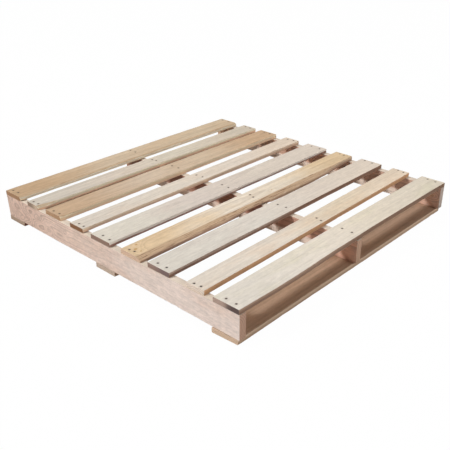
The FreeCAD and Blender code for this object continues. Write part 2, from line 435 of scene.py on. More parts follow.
def worn_box(frame, shape, pins):
    """Points and faces of one piece of sawn timber in its own frame."""
    points, faces = lattice(
        mesh_lines(frame.length, shape.step, LINES_AT_ENDS),
        mesh_lines(frame.width, shape.side_step, LINES_AT_SIDES),
        mesh_lines(frame.thickness, shape.rise_step, LINES_AT_SIDES))
    box = points.T
    x, y, z = round_arrises(frame, shape, points).T
    inset = shape.taper(x / frame.length) if shape.taper else 0.0
    y = shape_front_edge(frame, shape, box, x, y, inset)
    if shape.wane:
        y, z = take_wane(frame, shape, box[2], x, y, z, inset)
    x, y, z = saw_unevenly(frame, shape, box, x, y, z)
    y, z = warp(frame, shape, box[0], y, z, pins)
    return np.stack([x, y, z], 1), faces


# --------------------------------------------------------------------------
# mesh tools
# --------------------------------------------------------------------------


def link_object(name, data):
    ob = bpy.data.objects.new(name, data)
    bpy.context.scene.collection.objects.link(ob)
    return ob


def add_mesh(name, points, faces):
    """A linked object from points in mm."""
    mesh = bpy.data.meshes.new(name)
    mesh.from_pydata((np.asarray(points) * MM).tolist(), [], faces)
    mesh.update()
    return link_object(name, mesh)


def join(parts):
    """One list of points and one of faces from several (points, faces)."""
    points, faces = [], []
    for part_points, part_faces in parts:
        base = len(points)
        points += part_points
        faces += [[i + base for i in face] for face in part_faces]
    return points, faces


def revolve(profile, centre, segments, up):
    """Closed surface of revolution about Z.

    profile: (radius, height) from pole to pole, first pole outermost; up is 1 or -1.
    """
    x, y, z = centre
    points, faces, rings = [], [], []
    for radius, height in profile:
        count = segments if radius else 1
        rings.append(range(len(points), len(points) + count))
        for k in range(count):
            angle = 2 * math.pi * k / segments
            points.append((x + radius * math.cos(angle), y + radius * math.sin(angle),
                           z + up * height))
    for upper, lower in zip(rings[:-1], rings[1:]):
        for k in range(segments):
            after = (k + 1) % segments
            if len(upper) == 1:
                faces.append([upper[0], lower[k], lower[after]])
            elif len(lower) == 1:
                faces.append([upper[after], upper[k], lower[0]])
            else:
                faces.append([upper[after], upper[k], lower[k], lower[after]])
    if up < 0:
        faces = [face[::-1] for face in faces]
    return points, faces


def cut(ob, tools):
    """Takes the tools' volume out of ob."""
    cutter = add_mesh("cutter", *join(tools))
    holes = ob.modifiers.new("holes", "BOOLEAN")
    holes.operation = "DIFFERENCE"
    holes.solver = "EXACT"
    holes.object = cutter
    bpy.context.view_layer.update()
    evaluated = ob.evaluated_get(bpy.context.evaluated_depsgraph_get())
    result = bpy.data.meshes.new_from_object(evaluated)
    ob.modifiers.clear()
    old = ob.data
    ob.data = result
    result.name = old.name
    bpy.data.meshes.remove(old)
    bpy.data.objects.remove(cutter)


def finish_mesh(ob, sharp):
    """Cleans the mesh and shades it smooth, with edges over sharp degrees kept hard."""
    bm = bmesh.new()
    bm.from_mesh(ob.data)
    bmesh.ops.remove_doubles(bm, verts=bm.verts, dist=2e-6)
    bmesh.ops.dissolve_degenerate(bm, dist=1e-6, edges=bm.edges)
    loose = [vert for vert in bm.verts if not vert.link_faces]
    if loose:
        bmesh.ops.delete(bm, geom=loose, context="VERTS")
    bm.normal_update()
    limit = math.radians(sharp)
    for face in bm.faces:
        face.smooth = True
    for edge in bm.edges:
        edge.smooth = len(edge.link_faces) != 2 or edge.calc_face_angle(0.0) < limit
    bm.to_mesh(ob.data)
    bm.free()
    ob.data.update()


def store(mesh, name, values):
    attribute = mesh.attributes.new(name, "FLOAT", "POINT")
    attribute.data.foreach_set("value", values.astype(np.float32))


def store_rim(mesh, frame):
    """How close each point is to an arris of its piece: 1 on the arris, 0 well inside a face."""
    points = to_local(frame, mesh_points(mesh))
    size = np.array(frame[2:])
    gaps = np.sort(np.abs(np.minimum(points, size - points)), axis=1)
    store(mesh, "rim", np.exp(-gaps[:, 1] / 1.6))


def store_stain(mesh, places):
    """Iron stain round each nail: full out to 3.6 mm from its axis, gone 3.2 mm further."""
    points = mesh_points(mesh)
    stain = np.zeros(len(points))
    for x, y, *_ in places:
        distance = np.hypot(points[:, 0] - x, points[:, 1] - y)
        stain = np.maximum(stain, unit(1.0 - (distance - 3.6) / 3.2) ** 1.5)
    store(mesh, "stain", stain)


# --------------------------------------------------------------------------
# node trees
# --------------------------------------------------------------------------


class Net:
    """Short-hand for building a node tree. Every call makes its own node."""

    def __init__(self, owner, output="ShaderNodeOutputMaterial"):
        owner.use_nodes = True
        self.tree = owner.node_tree
        self.tree.nodes.clear()
        self.output = self.tree.nodes.new(output)

    def put(self, socket, value):
        if isinstance(value, bpy.types.NodeSocket):
            self.tree.links.new(value, socket)
        else:
            if isinstance(value, (tuple, list)) and len(value) == 3 and socket.type == "RGBA":
                value = (*value, 1.0)
            socket.default_value = value

    def node(self, kind, inputs=None, **props):
        """The outputs of a new node; inputs maps socket names or places to values."""
        node = self.tree.nodes.new(kind)
        for name, value in props.items():
            setattr(node, name, value)
        for key, value in (inputs or {}).items():
            self.put(node.inputs[key], value)
        return node.outputs

    def calc(self, operation, *values, clamp=False):
        return self.node("ShaderNodeMath", dict(enumerate(values)),
                         operation=operation, use_clamp=clamp)[0]

    def add(self, first, second, clamp=False):
        return self.calc("ADD", first, second, clamp=clamp)

    def sub(self, first, second):
        return self.calc("SUBTRACT", first, second)

    def mul(self, first, second, clamp=False):
        return self.calc("MULTIPLY", first, second, clamp=clamp)

    def div(self, first, second):
        return self.calc("DIVIDE", first, second)

    def mul_add(self, value, factor, addend):
        return self.calc("MULTIPLY_ADD", value, factor, addend)

    def squares(self, first, second):
        return self.add(self.mul(first, first), self.mul(second, second))

    def bell(self, square):
        return self.calc("EXPONENT", self.mul(square, -1.0))

    def centred(self, pattern):
        """A 0..1 pattern moved to -0.5..0.5."""
        return self.sub(pattern, 0.5)

    def vary(self, pattern, swing):
        """A factor round 1, its full range being swing."""
        return self.mul_add(self.centred(pattern), swing, 1.0)

    def jitter(self, value, pattern, amount):
        return self.add(value, self.mul(self.centred(pattern), amount))

    def vector_sub(self, first, second):
        return self.node("ShaderNodeVectorMath", {0: first, 1: second},
                         operation="SUBTRACT")["Vector"]

    def turned(self, vector, angle):
        """x, y and z of a vector turned about Z."""
        return self.split(self.node("ShaderNodeVectorRotate", {"Vector": vector, "Angle": angle},
                                    rotation_type="Z_AXIS")[0])

    def xyz(self, x, y, z):
        return self.node("ShaderNodeCombineXYZ", {0: x, 1: y, 2: z})[0]

    def split(self, vector):
        return tuple(self.node("ShaderNodeSeparateXYZ", {0: vector}))

    def noise(self, vector, detail, rough, scale=1.0, distort=0.0, colour=False):
        outputs = self.node(
            "ShaderNodeTexNoise",
            {"Vector": vector, "Scale": scale, "Detail": detail, "Roughness": rough,
             "Distortion": distort},
            noise_dimensions="3D")
        return outputs[1 if colour else 0]

    def step(self, value, low, high, start=0.0, end=1.0):
        """Eases from start to end as value goes from low to high."""
        return self.node(
            "ShaderNodeMapRange",
            {"Value": value, "From Min": low, "From Max": high, "To Min": start, "To Max": end},
            interpolation_type="SMOOTHSTEP")[0]

    def fall(self, value, low, high):
        return self.step(value, low, high, start=1.0, end=0.0)

    def mix(self, factor, first, second, blend="MIX"):
        return self.node("ShaderNodeMix", {0: factor, 6: first, 7: second},
                         data_type="RGBA", blend_type=blend, clamp_factor=True)[2]

    def glaze(self, base, colour, mask, amount):
        """Lays colour over base where the mask is, at most by amount."""
        return self.mix(self.mul(mask, amount), base, colour)

    def scaled(self, colour, value):
        """colour times a grey value"""
        return self.mix(1.0, colour, self.xyz(value, value, value), blend="MULTIPLY")

    def ramp(self, value, stops):
        """stops: (position, colour)"""
        node = self.tree.nodes.new("ShaderNodeValToRGB")
        elements = node.color_ramp.elements
        while len(elements) < len(stops):
            elements.new(0.5)
        for element, (position, colour) in zip(elements, stops):
            element.position = position
            element.color = (*colour, 1)
        self.put(node.inputs[0], value)
        return node.outputs[0]

    def mix_shader(self, factor, first, second):
        return self.node("ShaderNodeMixShader", {0: factor, 1: first, 2: second})[0]

    def surface(self, inputs, height, strength, distance):
        """Principled surface with bumps (distance in metres), wired to the output."""
        normal = self.node("ShaderNodeBump",
                           {"Strength": strength, "Distance": distance, "Height": height})[0]
        shader = self.node("ShaderNodeBsdfPrincipled", {**inputs, "Normal": normal})[0]
        self.put(self.output.inputs["Surface"], shader)


# --------------------------------------------------------------------------
# the look of each piece. Colours are linear reflectances, lengths metres.
# --------------------------------------------------------------------------


class Look(NamedTuple):
    tones: list                  # face colours along the piece, at TONE_STATIONS
    edge: tuple                  # sawn edge: upper part, lower part
    end: tuple                   # end grain: most of it, the part nearest y = 0
    tint: tuple                  # blotches on the faces
    ring_depth: float            # darkening by latewood
    late_mix: float              # share of the latewood colour
    late: tuple = (0.55, 0.36, 0.22)
    tint_amount: float = 0.6
    ring: float = 0.0042         # growth ring pitch
    pith: tuple = None           # centre of the log: across the wide face, through the piece
    wander: float = 0.014        # wander of the pith line
    figure: tuple = (1.0, 1.0)   # ring strength towards the near and the far end
    streak_depth: float = 0.16   # this and the next three: half ranges of shade
    patch: float = 0.16
    band_depth: float = 0.12
    mottle: float = 0.12
    specks: float = 0.22
    knots: tuple = ()            # (place along, place across, size)
    swirl: float = 1.1           # how far knots push the rings aside
    knot: tuple = None           # knot colour
    knot_mix: float = 0.75
    low_light_band: tuple = None            # painted light: a pale band low on the piece, standing in for the light that falls there; height, colour, start as a fraction
    skin: tuple = None           # outside of the log: its own colour, where bark is torn
    skin_low: tuple = None       # colour of its lower part, right half
    scars: tuple = ()            # dark marks on it: (place along, reach)
    edge_split: tuple = (0.25, 0.75)   # heights, as fractions, between the edge colours
    edge_right: tuple = None     # edge colour towards the right end
    edge_turn: tuple = None      # fractions of the length over which it takes over


def even(*colour):
    """The same colour for both parts."""
    return colour, colour


TONE_STATIONS = (0.127, 0.365, 0.64, 0.87)

STRINGER_LOOK = dict(
    edge=even(0.74, 0.63, 0.52), tint=(0.66, 0.47, 0.37), tint_amount=0.45, ring_depth=0.20,
    late_mix=0.30, streak_depth=0.13, band_depth=0.09, mottle=0.26, specks=0.18, ring=0.009)

LOOKS = {
    "top_lead_board_front": Look(
        tones=[(0.720, 0.663, 0.584), (0.782, 0.703, 0.605),
               (0.764, 0.676, 0.553), (0.734, 0.652, 0.538)],
        edge=((0.385, 0.252, 0.178), (0.275, 0.167, 0.116)),
        end=((0.434, 0.312, 0.255), (0.118, 0.081, 0.075)),
        tint=(0.70, 0.65, 0.47), tint_amount=0.5, ring_depth=0.05, late_mix=0.06,
        streak_depth=0.11, band_depth=0.07,
        edge_right=(0.265, 0.158, 0.105), edge_turn=(0.36, 0.58)),
    "top_board_2": Look(
        tones=[(0.726, 0.647, 0.556), (0.769, 0.684, 0.582),
               (0.734, 0.616, 0.462), (0.774, 0.645, 0.505)],
        edge=((0.72, 0.43, 0.24), (0.60, 0.35, 0.19)),
        end=even(0.770, 0.643, 0.537),
        tint=(0.72, 0.50, 0.33), tint_amount=0.35, ring_depth=0.08, late_mix=0.10,
        streak_depth=0.13, ring=0.006),
    "top_board_3": Look(
        tones=[(0.691, 0.640, 0.564), (0.728, 0.671, 0.594),
               (0.724, 0.631, 0.537), (0.746, 0.643, 0.535)],
        edge=((0.521, 0.391, 0.316), (0.279, 0.167, 0.121)),
        end=((0.311, 0.208, 0.169), (0.207, 0.142, 0.133)),
        tint=(0.64, 0.55, 0.48), tint_amount=0.45, ring_depth=0.05, late_mix=0.05,
        streak_depth=0.11, band_depth=0.08, edge_split=(0.40, 0.62),
        edge_right=(0.30, 0.18, 0.125), edge_turn=(0.32, 0.62)),
    "top_board_4": Look(
        tones=[(0.712, 0.532, 0.339), (0.811, 0.712, 0.589),
               (0.765, 0.660, 0.526), (0.706, 0.531, 0.337)],
        edge=((0.76, 0.58, 0.40), (0.52, 0.33, 0.23)),
        end=even(0.670, 0.465, 0.333),
        tint=(0.74, 0.54, 0.32), tint_amount=0.5, ring_depth=0.12, late_mix=0.18,
        streak_depth=0.15, ring=0.0065, knot=(0.50, 0.27, 0.09),
        knots=((0.031, 0.058, 0.016), (0.052, 0.080, 0.012), (0.035, 0.035, 0.010),
               (0.70, 0.040, 0.009)),
        skin=((0.60, 0.42, 0.27), (0.26, 0.14, 0.085)), skin_low=(0.16, 0.095, 0.055),
        scars=((0.137, 0.018), (0.60, 0.010))),
    "top_board_5": Look(
        tones=[(0.710, 0.655, 0.563), (0.690, 0.600, 0.529),
               (0.708, 0.619, 0.525), (0.727, 0.631, 0.536)],
        edge=((0.93, 0.84, 0.75), (0.330, 0.185, 0.145)),
        end=even(0.285, 0.184, 0.139),
        tint=(0.66, 0.55, 0.48), tint_amount=0.45, ring_depth=0.05, late_mix=0.05,
        streak_depth=0.11, band_depth=0.08, edge_split=(0.40, 0.58)),
    "top_board_6": Look(
        tones=[(0.698, 0.626, 0.540), (0.728, 0.646, 0.544),
               (0.756, 0.665, 0.565), (0.755, 0.631, 0.508)],
        edge=((0.930, 0.739, 0.560), (0.739, 0.504, 0.358)),
        end=even(0.246, 0.117, 0.057),
        tint=(0.74, 0.58, 0.44), tint_amount=0.4, ring_depth=0.08, late_mix=0.09,
        streak_depth=0.13),
    "top_board_7": Look(
        tones=[(0.541, 0.380, 0.249), (0.629, 0.501, 0.379),
               (0.637, 0.499, 0.359), (0.589, 0.403, 0.253)],
        edge=((0.93, 0.77, 0.55), (0.91, 0.66, 0.45)),
        end=even(0.435, 0.267, 0.157),
        tint=(0.60, 0.42, 0.27), ring_depth=0.12, late_mix=0.14, streak_depth=0.15,
        ring=0.006, skin=((0.52, 0.36, 0.22), (0.34, 0.20, 0.12))),
    "top_board_8": Look(
        tones=[(0.627, 0.561, 0.477), (0.702, 0.601, 0.497),
               (0.688, 0.614, 0.492), (0.671, 0.566, 0.451)],
        edge=((0.930, 0.845, 0.650), (0.93, 0.62, 0.44)),
        end=((0.300, 0.215, 0.157), (0.600, 0.454, 0.326)),
        tint=(0.58, 0.53, 0.43), ring_depth=0.08, late_mix=0.08, streak_depth=0.13,
        skin=((0.56, 0.43, 0.29), (0.38, 0.25, 0.15))),
    "top_lead_board_rear": Look(
        tones=[(0.536, 0.370, 0.228), (0.626, 0.496, 0.359),
               (0.622, 0.486, 0.340), (0.633, 0.502, 0.354)],
        edge=((0.88, 0.83, 0.69), (0.92, 0.75, 0.53)),
        end=even(0.351, 0.203, 0.113),
        tint=(0.60, 0.42, 0.26), ring_depth=0.12, late_mix=0.14, streak_depth=0.15,
        ring=0.006, skin=((0.58, 0.43, 0.28), (0.42, 0.28, 0.17))),
    "bottom_lead_board_front": Look(
        tones=[(0.560, 0.385, 0.270), (0.550, 0.380, 0.265),
               (0.460, 0.315, 0.225), (0.450, 0.310, 0.220)],
        edge=((0.688, 0.502, 0.358), (0.521, 0.353, 0.233)),
        end=even(0.657, 0.477, 0.341),
        tint=(0.52, 0.34, 0.22), ring_depth=0.14, late_mix=0.15),
    "bottom_board_centre": Look(
        tones=[(0.58, 0.43, 0.31)] * 4,
        edge=even(0.596, 0.404, 0.277),
        end=even(0.550, 0.432, 0.345),
        tint=(0.52, 0.36, 0.24), ring_depth=0.14, late_mix=0.15),
    "bottom_lead_board_rear": Look(
        tones=[(0.55, 0.41, 0.30)] * 4,
        edge=even(0.255, 0.128, 0.106),
        end=even(0.398, 0.287, 0.212),
        tint=(0.50, 0.35, 0.24), ring_depth=0.14, late_mix=0.15),
    "stringer_left": Look(**dict(
        STRINGER_LOOK,
        tones=[(0.788, 0.666, 0.599), (0.783, 0.654, 0.580),
               (0.770, 0.593, 0.497), (0.658, 0.482, 0.393)],
        end=even(0.495, 0.310, 0.225), late=(0.50, 0.34, 0.28),
        knots=((1.160, 0.050, 0.034), (1.085, 0.030, 0.026), (1.135, 0.012, 0.015),
               (1.015, 0.052, 0.020), (0.945, 0.028, 0.015), (0.84, 0.050, 0.010)),
        swirl=1.5, knot=(0.42, 0.26, 0.20), knot_mix=0.30, pith=(0.040, 0.060), ring=0.0070,
        wander=0.030, ring_depth=0.13, late_mix=0.24, mottle=0.32, figure=(0.22, 1.9),
        patch=0.20)),
    "stringer_centre": Look(**dict(
        STRINGER_LOOK,
        tones=[(0.840, 0.520, 0.390), (0.520, 0.270, 0.200),
               (0.440, 0.230, 0.165), (0.380, 0.215, 0.150)],
        end=even(0.524, 0.336, 0.235), late=(0.36, 0.20, 0.15), pith=(0.03, 0.09),
        # painted light: the pale band low on its sides stands in for the light falling there
        tint=(0.50, 0.28, 0.20), low_light_band=(0.029, (0.92, 0.75, 0.64), 0.11))),
    "stringer_right": Look(**dict(
        STRINGER_LOOK,
        tones=[(0.840, 0.560, 0.430), (0.720, 0.450, 0.340),
               (0.700, 0.430, 0.320), (0.560, 0.370, 0.245)],
        end=even(0.516, 0.425, 0.370), late=(0.42, 0.26, 0.20), pith=(0.05, 0.10),
        # painted light: the pale band low on its sides stands in for the light falling there
        low_light_band=(0.031, (0.92, 0.77, 0.66), 0.13), knots=((0.035, 0.050, 0.022),),
        knot=(0.62, 0.38, 0.22), knot_mix=0.6, swirl=1.8)),
}

UNDERSIDE = (0.66, 0.48, 0.34)     # underside of the deck boards
SCAR = (0.12, 0.050, 0.030)
RUBBED = (0.62, 0.52, 0.42)        # worn arrises
IRON_STAIN = (0.20, 0.13, 0.095)
SPECK = (0.30, 0.21, 0.15)

# share of a ring's width, latewood in it
RING_PROFILE = [(0.0, 0.10), (0.10, 0.0), (0.5, 0.22), (0.86, 0.95), (0.93, 1.0), (1.0, 0.10)]
SAW_PITCH = 0.0034
SAW_LEAN = 0.22                    # run of the saw marks along, per unit across


class Timber(Net):
    """Sawn timber. Growth rings are measured from the pith of the log the piece was cut from,
    so that faces, edges and end grain agree; fibres, knots, stain and saw marks lie over them."""

    def __init__(self, name, frame, look, seed, underside):
        material = bpy.data.materials.new(name)
        super().__init__(material)
        self.look = look
        rng = np.random.default_rng(seed)
        self.read_position(frame)
        self.shift = float(rng.uniform(0, 50))
        self.slow = self.grain(along=1.6, across=7.0, detail=2.0, rough=0.5,
                               shift=self.shift, colour=True)
        self.drift = self.split(self.vector_sub(self.slow, (0.5, 0.5, 0.5)))
        self.make_rings(rng)
        self.make_patterns()
        colour = self.face_colour(underside)
        colour = self.mix(self.on_edge, colour, self.edge_colour())
        colour = self.mix(self.on_end, colour, self.end_colour())
        self.finish(self.weathered(colour))
        material.diffuse_color = (*look.tones[1], 1)
        self.material = material

    def read_position(self, frame):
        """Place and normal in the piece's own frame, in metres."""
        self.length, self.width, self.height = (size * MM for size in frame[2:])
        coords = self.node("ShaderNodeTexCoord")
        origin = tuple(value * MM for value in frame.origin)
        place = self.vector_sub(coords["Object"], origin)
        self.x, self.y, self.z = self.turned(place, -frame.turn)
        normal_x, self.normal_y, self.normal_z = self.turned(coords["Normal"], -frame.turn)
        self.on_end = self.step(self.calc("ABSOLUTE", normal_x), low=0.55, high=0.8)
        # across the wide face, and through the piece
        if frame.thickness > frame.width:
            self.across, self.depth, self.wide = self.z, self.y, self.height
            edge_normal = self.normal_z
        else:
            self.across, self.depth, self.wide = self.y, self.z, self.width
            edge_normal = self.normal_y
        self.on_edge = self.step(self.calc("ABSOLUTE", edge_normal), low=0.55, high=0.8)

    def part_along(self):
        return self.div(self.x, self.length)

    def part_up(self):
        return self.div(self.z, self.height)

    def grain(self, along, across, shift=None, line=None, **noise):
        """Noise stretched along the piece: along and across are its frequencies per metre."""
        x = self.mul(line or self.x, along)
        if shift is not None:
            x = self.add(x, shift)
        place = self.xyz(x, self.mul(self.across, across), self.mul(self.depth, across))
        return self.noise(place, **noise)

    def from_pith(self, place, pith, tilt, drift):
        wander = self.mul(drift, self.look.wander)
        return self.add(self.sub(place, pith), self.mul_add(self.x, tilt, wander))

    def from_knot(self, knot, along, across):
        """Squared distance from a knot, in reaches given as shares of its size."""
        knot_x, knot_across, size = knot
        return self.squares(self.div(self.sub(self.x, knot_x), size * along),
                            self.div(self.sub(self.across, knot_across), size * across))

    def make_rings(self, rng):
        """Latewood of the growth rings, and the hearts of the knots that push them aside."""
        look = self.look
        middle = (self.wide * 0.5 + rng.uniform(-0.02, 0.02), -0.05)
        pith_across, pith_depth = look.pith or middle
        tilt_across, tilt_depth = rng.uniform(-0.03, 0.03), rng.uniform(-0.02, 0.02)
        drift_x, drift_y, drift_z = self.drift
        radius = self.calc("SQRT", self.squares(
            self.from_pith(self.across, pith_across, tilt_across, drift_x),
            self.from_pith(self.depth, pith_depth, tilt_depth, drift_y)))
        self.knot_hearts = None
        for knot in look.knots:
            near = self.bell(self.from_knot(knot, along=1.9, across=1.0))
            radius = self.add(radius, self.mul(near, knot[2] * look.swirl))
            reach = self.calc("SQRT", self.from_knot(knot, along=0.42, across=0.34))
            reach = self.jitter(reach, self.slow, amount=0.5)
            heart = self.fall(reach, low=0.75, high=1.1)
            if self.knot_hearts:
                heart = self.calc("MAXIMUM", self.knot_hearts, heart)
            self.knot_hearts = heart
        uneven = 2.0     # in ring widths
        phase = self.add(self.div(radius, look.ring), self.mul(drift_z, uneven))
        which = self.calc("FLOOR", phase)
        late = self.ramp(self.calc("FRACT", phase),
                         [(place, (value,) * 3) for place, value in RING_PROFILE])
        # each ring has its own strength, 0.45 to 1.15
        chance = self.node("ShaderNodeTexWhiteNoise", {"W": which}, noise_dimensions="1D")
        self.late = self.mul(late, self.mul_add(chance["Value"], 0.7, 0.45), clamp=True)

    def make_patterns(self):
        """Fibres, bands, blotches and the marks of the saw."""
        shift = self.shift
        self.streak = self.grain(along=2.2, across=150.0, detail=4.0, rough=0.62)
        self.hair = self.grain(along=22.0, across=1500.0, detail=2.0, rough=0.6)
        self.band = self.grain(along=0.9, across=26.0, detail=3.0, rough=0.55, shift=shift)
        self.blot = self.grain(along=4.0, across=11.0, detail=3.0, rough=0.6, shift=shift * 2)
        self.mottle = self.grain(along=55.0, across=130.0, detail=3.0, rough=0.65, distort=0.4)
        line = self.mul_add(self.across, SAW_LEAN, self.x)
        bent = self.add(line, self.mul(self.drift[0], 0.006))
        wave = self.calc("SINE", self.mul(bent, 2 * math.pi / SAW_PITCH))
        broken = self.grain(along=150.0, across=6.0, detail=2.0, rough=0.6, line=line)
        # regular teeth at a quarter strength over broken marks
        marks = self.mul_add(wave, 0.25, self.centred(broken))
        self.saw = self.mul(marks, self.step(self.blot, low=0.38, high=0.70))
        self.pores = self.grain(along=60.0, across=520.0, detail=2.0, rough=0.7)

    def face_shade(self, bold):
        look = self.look
        depth = look.ring_depth
        shade = self.sub(1.0 + depth * 0.35, self.mul(bold, depth))
        patch = self.grain(along=24.0, across=62.0, detail=3.0, rough=0.7, distort=0.5,
                           shift=self.shift)
        swings = (
            (self.streak, look.streak_depth * 2.0), (patch, look.patch * 2.0),
            (self.band, look.band_depth * 2.0), (self.hair, 0.14),
            (self.mottle, look.mottle * 2.0))
        for pattern, swing in swings:
            shade = self.mul(shade, self.vary(pattern, swing))
        saw_depth = 0.10
        return self.mul(shade, self.mul_add(self.saw, saw_depth, 1.0))

    def face_colour(self, underside):
        look = self.look
        place = self.jitter(self.part_along(), self.band, amount=0.22)
        face = self.ramp(place, list(zip(TONE_STATIONS, look.tones)))
        blotches = self.step(self.blot, low=0.45, high=0.75)
        face = self.glaze(face, look.tint, blotches, look.tint_amount)
        near, far = look.figure
        figure = self.step(self.part_along(), low=0.35, high=0.92, start=near, end=far)
        bold = self.mul(self.late, figure)
        shade = self.face_shade(bold)
        face = self.glaze(face, look.late, bold, look.late_mix)
        # painted light: a pale band low on the stringer sides, in place of the light that falls
        # there
        if look.low_light_band:
            face = self.add_painted_low_light(face)
        face = self.scaled(face, shade)
        if self.knot_hearts:
            face = self.glaze(face, look.knot, self.knot_hearts, look.knot_mix)
        if underside:
            below = self.fall(self.normal_z, low=-0.7, high=-0.4)
            face = self.mix(below, face, self.scaled(UNDERSIDE, shade))
        if look.skin:
            face = self.add_skin(face)
        return face

    def add_painted_low_light(self, face):
        """Painted light: a pale band below a wandering line, standing in for the light that falls
        low on the piece's sides.
        """
        height, colour, begin = self.look.low_light_band
        stray = self.jitter(self.mul(self.drift[0], 0.016), self.streak, amount=0.006)
        line = self.add(self.sub(self.z, height), stray)
        low_light_band = self.mul(self.fall(line, low=-0.004, high=0.004),
                       self.step(self.part_along(), low=begin - 0.03, high=begin + 0.03))
        return self.mix(low_light_band, face, colour)

    def add_skin(self, face):
        """The round outside of the log, with bark torn off it, on slopes facing up and front."""
        look = self.look
        own, deep = look.skin
        torn = self.grain(along=14.0, across=260.0, detail=3.0, rough=0.6, distort=0.3,
                          shift=self.shift)
        skin = self.mix(self.step(torn, low=0.50, high=0.66), own, deep)
        skin = self.scaled(skin, self.vary(self.streak, swing=0.5))
        slope = self.mul(self.fall(self.normal_y, low=-0.34, high=-0.16),
                         self.step(self.normal_z, low=0.25, high=0.45))
        for place, reach in look.scars:
            offset = self.div(self.sub(self.x, place), reach)
            low_down = self.fall(self.jitter(self.part_up(), torn, amount=1.2),
                                 low=0.30, high=0.70)
            mark = self.mul(self.bell(self.mul(offset, offset)), low_down)
            skin = self.glaze(skin, SCAR, mark, amount=0.95)
        if look.skin_low:
            below = self.mul(
                self.fall(self.jitter(self.part_up(), torn, amount=0.6), low=0.22, high=0.42),
                self.step(self.part_along(), low=0.50, high=0.56))
            skin = self.glaze(skin, look.skin_low, below, amount=0.65)
        return self.mix(slope, face, skin)

    def edge_colour(self):
        look = self.look
        upper, lower = look.edge
        height = self.jitter(self.part_up(), self.streak, amount=0.7)
        colour = self.mix(self.step(height, *look.edge_split), lower, upper)
        if look.edge_right:
            place = self.jitter(self.part_along(), self.band, amount=0.3)
            colour = self.mix(self.step(place, *look.edge_turn), colour, look.edge_right)
        shade = self.mul(self.vary(self.streak, swing=0.55), self.vary(self.band, swing=0.45))
        return self.scaled(colour, shade)

    def end_colour(self):
        main, first = self.look.end
        place = self.jitter(self.div(self.y, self.width), self.blot, amount=0.8)
        colour = self.mix(self.step(place, low=0.15, high=0.65), first, main)
        # 1.12 between rings, less 0.34 in full latewood
        shade = self.sub(1.12, self.mul(self.late, 0.34))
        return self.scaled(colour, self.mul(shade, self.vary(self.pores, swing=0.5)))

    def weathered(self, colour):
        """Rubbed arrises, iron stain round the nails, and specks."""
        rim = self.node("ShaderNodeAttribute", attribute_name="rim")["Fac"]
        worn = self.mul(rim, self.step(self.blot, low=0.3, high=0.7))
        colour = self.glaze(colour, RUBBED, worn, amount=0.30)
        stain = self.node("ShaderNodeAttribute", attribute_name="stain")["Fac"]
        # the mottle breaks the stain up, from 0.35 to 1.15 of its strength
        stain = self.mul(stain, self.mul_add(self.mottle, 0.8, 0.35), clamp=True)
        colour = self.glaze(colour, IRON_STAIN, stain, amount=0.6)
        speck = self.grain(along=160.0, across=420.0, detail=3.0, rough=0.65)
        specks = self.step(speck, low=0.66, high=0.80)
        return self.glaze(colour, SPECK, specks, self.look.specks)

    def finish(self, colour):
        """Roughness, and relief: proud latewood, fibres, saw marks, pores and knots."""
        # base roughness, then what fibres add, latewood takes off and end grain adds
        base, fibre, latewood, end = 0.70, 0.16, 0.05, 0.10
        rough = self.add(base, self.mul(self.streak, fibre))
        rough = self.sub(rough, self.mul(self.late, latewood))
        rough = self.add(rough, self.mul(self.on_end, end), clamp=True)
        # pattern, height
        relief = [(self.hair, 0.55), (self.streak, 0.8), (self.saw, 0.8), (self.mottle, 0.5),
                  (self.mul(self.pores, self.on_end), 0.8)]
        if self.knot_hearts:
            relief.append((self.knot_hearts, 0.5))
        height = self.mul(self.late, 0.30)
        for pattern, weight in relief:
            height = self.add(height, self.mul(pattern, weight))
        self.surface({"Base Color": colour, "Roughness": rough, "Specular IOR Level": 0.22},
                     height, strength=0.55, distance=0.0005)


def nail_steel():
    """Dark steel, grimy and partly rusted."""
    material = bpy.data.materials.new("nail_steel")
    net = Net(material)
    place = net.node("ShaderNodeTexCoord")["Object"]
    grime = net.noise(place, scale=420.0, detail=4.0, rough=0.65)
    pits = net.noise(place, scale=1700.0, detail=2.0, rough=0.6)
    rust = net.step(net.noise(place, scale=95.0, detail=3.0, rough=0.6), low=0.48, high=0.68)
    dark, pale, rusty = (0.035, 0.029, 0.026), (0.095, 0.085, 0.078), (0.11, 0.050, 0.024)
    colour = net.mix(net.step(grime, low=0.3, high=0.7), dark, pale)
    colour = net.glaze(colour, rusty, rust, amount=0.55)
    # bare steel is 0.75 metallic, full rust 0.25; grime takes roughness from 0.38 to 0.73
    metallic = net.sub(0.75, net.mul(rust, 0.5))
    rough = net.mul_add(grime, 0.35, 0.38)
    net.surface({"Base Color": colour, "Metallic": metallic, "Roughness": rough},
                net.add(grime, pits), strength=0.5, distance=0.00015)
    material.diffuse_color = (0.1, 0.09, 0.08, 1)
    return material


# --------------------------------------------------------------------------
# timber pieces
# --------------------------------------------------------------------------

frames = {node: board_frame(node) for node in TOP_BOARDS + BOTTOM_BOARDS}
frames.update({node: stringer_frame(node) for node in STRINGERS})
nails = {group: nail_places(group) for group in TOP_NAILS + BOTTOM_NAILS}


def register(ob, node):
    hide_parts(node)
    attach(ob, "root")


def stringer_lines(frame):
    """Where the stringers' middles cross a board, along it."""
    middles = [frames[node].origin[0] - frames[node].width / 2 for node in STRINGERS]
    return [(middle - frame.origin[0]) / math.cos(frame.turn) for middle in middles]


def head_tool(x, y, face_z, up, through):
    """What a nail leaves in a board: crushed fibres, the head's seat and the shank's hole."""
    bottom = -(through + 2.0)
    profile = [(0, 2.5), (4.9, 2.5), (4.35, 0.0), (3.72, -0.45), (3.66, -1.56),
               (HOLE_RADIUS, -1.56), (HOLE_RADIUS, bottom), (0, bottom)]
    return revolve(profile, (x, y, face_z), segments=20, up=up)


